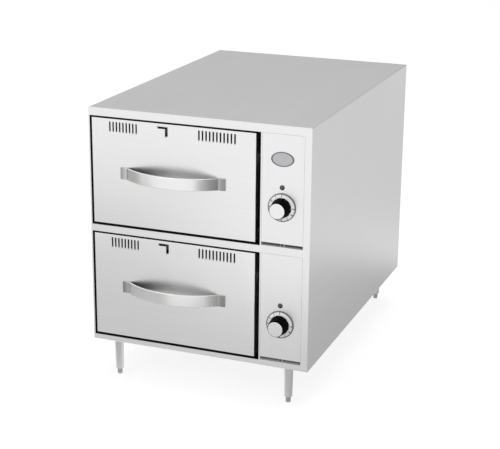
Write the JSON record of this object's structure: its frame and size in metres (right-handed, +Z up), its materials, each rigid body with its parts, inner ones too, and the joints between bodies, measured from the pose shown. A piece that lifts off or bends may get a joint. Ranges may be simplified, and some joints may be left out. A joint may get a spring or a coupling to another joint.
{
  "type": "countertop warming drawer cabinet",
  "caption": "Narrow stainless warming cabinet on legs: pull-out food pans in vented drawers with bowed handles, dial controls in a column beside them.",
  "frame": {"origin": "on the floor, under the middle of the cabinet with its handles", "axes": "+X the cabinet's right, +Y its back, +Z up"},
  "size_m": [0.49, 0.766, 0.602],
  "materials": {
    "stainless": "brushed stainless sheet",
    "handle_steel": "polished stainless strip",
    "inner_steel": "mill-finish sheet",
    "pan_steel": "drawn stainless steel",
    "element_steel": "heat-darkened sheath",
    "plated_steel": "zinc plated",
    "roller_steel": "zinc-plated steel",
    "knob_black": "moulded black phenolic",
    "cap_silver": "spun aluminium",
    "dial_silver": "satin aluminium",
    "lamp_lens": "dark lens",
    "thermostat_case": "moulded case",
    "gland_black": "moulded nylon",
    "badge_silver": "bare satin plate"
  },
  "bodies": {
    "cabinet": {"back_panel": "inner_steel", "back_screws": "plated_steel", "base_pan": "inner_steel", "cabinet_rail_lower_left": "inner_steel", "cabinet_rail_lower_right": "inner_steel", "cabinet_rail_upper_left": "inner_steel", "cabinet_rail_upper_right": "inner_steel", "control_panel_lower": "stainless", "control_panel_upper": "stainless", "cord_gland": "gland_black", "divider": "inner_steel", "foot_back_left": "plated_steel", "foot_back_right": "plated_steel", "foot_front_left": "plated_steel", "foot_front_right": "plated_steel", "front_frame": "stainless", "heating_element_lower": "element_steel", "heating_element_upper": "element_steel", "leg_back_left": "stainless", "leg_back_right": "stainless", "leg_front_left": "stainless", "leg_front_right": "stainless", "middle_shelf": "inner_steel", "oval_plate": "badge_silver", "panel_screws": "plated_steel", "pilot_lamp_lower": "lamp_lens", "pilot_lamp_upper": "lamp_lens", "thermostat_lower": "thermostat_case", "thermostat_upper": "thermostat_case", "wrapper": "stainless"},
    "upper_drawer": {"drawer_front_upper": "stainless", "drawer_liner_upper": "inner_steel", "handle_upper": "handle_steel", "pan_carrier_upper": "inner_steel", "food_pan_upper": "pan_steel"},
    "upper_vent_shutter": {"vent_shutter_upper": "inner_steel"},
    "upper_knob": {"knob_upper": "knob_black", "dial_upper": "dial_silver", "knob_cap_upper": "cap_silver", "knob_shaft_upper": "plated_steel"},
    "upper_left_cabinet_roller": {"cabinet_roller_upper_left": "roller_steel"},
    "upper_left_drawer_roller": {"drawer_roller_upper_left": "roller_steel"},
    "upper_right_cabinet_roller": {"cabinet_roller_upper_right": "roller_steel"},
    "upper_right_drawer_roller": {"drawer_roller_upper_right": "roller_steel"},
    "lower_drawer": {"drawer_front_lower": "stainless", "drawer_liner_lower": "inner_steel", "handle_lower": "handle_steel", "pan_carrier_lower": "inner_steel", "food_pan_lower": "pan_steel"},
    "lower_vent_shutter": {"vent_shutter_lower": "inner_steel"},
    "lower_knob": {"knob_lower": "knob_black", "dial_lower": "dial_silver", "knob_cap_lower": "cap_silver", "knob_shaft_lower": "plated_steel"},
    "lower_left_cabinet_roller": {"cabinet_roller_lower_left": "roller_steel"},
    "lower_left_drawer_roller": {"drawer_roller_lower_left": "roller_steel"},
    "lower_right_cabinet_roller": {"cabinet_roller_lower_right": "roller_steel"},
    "lower_right_drawer_roller": {"drawer_roller_lower_right": "roller_steel"}
  },
  "joints": [
    {"name": "upper_drawer_slide", "type": "slide", "parent": "cabinet", "child": "upper_drawer", "axis": [0, -1, 0], "range_m": [0, 0.5]},
    {"name": "upper_vent_slide", "type": "slide", "parent": "upper_drawer", "child": "upper_vent_shutter", "axis": [1, 0, 0], "range_m": [0, 0.00375]},
    {"name": "upper_knob_turn", "type": "hinge", "parent": "cabinet", "child": "upper_knob", "pos_m": [0.18455, -0.345, 0.434], "axis": [0, 1, 0], "range_deg": [0, 270]},
    {"name": "upper_left_cabinet_roller_spin", "type": "hinge", "parent": "cabinet", "child": "upper_left_cabinet_roller", "pos_m": [-0.2375, -0.3115, 0.5208], "axis": [1, 0, 0], "continuous": true},
    {"name": "upper_left_drawer_roller_spin", "type": "hinge", "parent": "upper_drawer", "child": "upper_left_drawer_roller", "pos_m": [-0.2331, 0.238, 0.5208], "axis": [1, 0, 0], "continuous": true},
    {"name": "upper_right_cabinet_roller_spin", "type": "hinge", "parent": "cabinet", "child": "upper_right_cabinet_roller", "pos_m": [0.1312, -0.3115, 0.5208], "axis": [1, 0, 0], "continuous": true},
    {"name": "upper_right_drawer_roller_spin", "type": "hinge", "parent": "upper_drawer", "child": "upper_right_drawer_roller", "pos_m": [0.1268, 0.238, 0.5208], "axis": [1, 0, 0], "continuous": true},
    {"name": "lower_drawer_slide", "type": "slide", "parent": "cabinet", "child": "lower_drawer", "axis": [0, -1, 0], "range_m": [0, 0.5]},
    {"name": "lower_vent_slide", "type": "slide", "parent": "lower_drawer", "child": "lower_vent_shutter", "axis": [1, 0, 0], "range_m": [0, 0.00375]},
    {"name": "lower_knob_turn", "type": "hinge", "parent": "cabinet", "child": "lower_knob", "pos_m": [0.18455, -0.345, 0.1825], "axis": [0, 1, 0], "range_deg": [0, 270]},
    {"name": "lower_left_cabinet_roller_spin", "type": "hinge", "parent": "cabinet", "child": "lower_left_cabinet_roller", "pos_m": [-0.2375, -0.3115, 0.2693], "axis": [1, 0, 0], "continuous": true},
    {"name": "lower_left_drawer_roller_spin", "type": "hinge", "parent": "lower_drawer", "child": "lower_left_drawer_roller", "pos_m": [-0.2331, 0.238, 0.2693], "axis": [1, 0, 0], "continuous": true},
    {"name": "lower_right_cabinet_roller_spin", "type": "hinge", "parent": "cabinet", "child": "lower_right_cabinet_roller", "pos_m": [0.1312, -0.3115, 0.2693], "axis": [1, 0, 0], "continuous": true},
    {"name": "lower_right_drawer_roller_spin", "type": "hinge", "parent": "lower_drawer", "child": "lower_right_drawer_roller", "pos_m": [0.1268, 0.238, 0.2693], "axis": [1, 0, 0], "continuous": true}
  ],
  "couplings": [
    {"joint": "upper_left_cabinet_roller_spin", "follows": "upper_drawer_slide", "rad_per_m": 111.11},
    {"joint": "upper_left_drawer_roller_spin", "follows": "upper_drawer_slide", "rad_per_m": 111.11},
    {"joint": "upper_right_cabinet_roller_spin", "follows": "upper_drawer_slide", "rad_per_m": 111.11},
    {"joint": "upper_right_drawer_roller_spin", "follows": "upper_drawer_slide", "rad_per_m": 111.11},
    {"joint": "lower_left_cabinet_roller_spin", "follows": "lower_drawer_slide", "rad_per_m": 111.11},
    {"joint": "lower_left_drawer_roller_spin", "follows": "lower_drawer_slide", "rad_per_m": 111.11},
    {"joint": "lower_right_cabinet_roller_spin", "follows": "lower_drawer_slide", "rad_per_m": 111.11},
    {"joint": "lower_right_drawer_roller_spin", "follows": "lower_drawer_slide", "rad_per_m": 111.11}
  ]
}
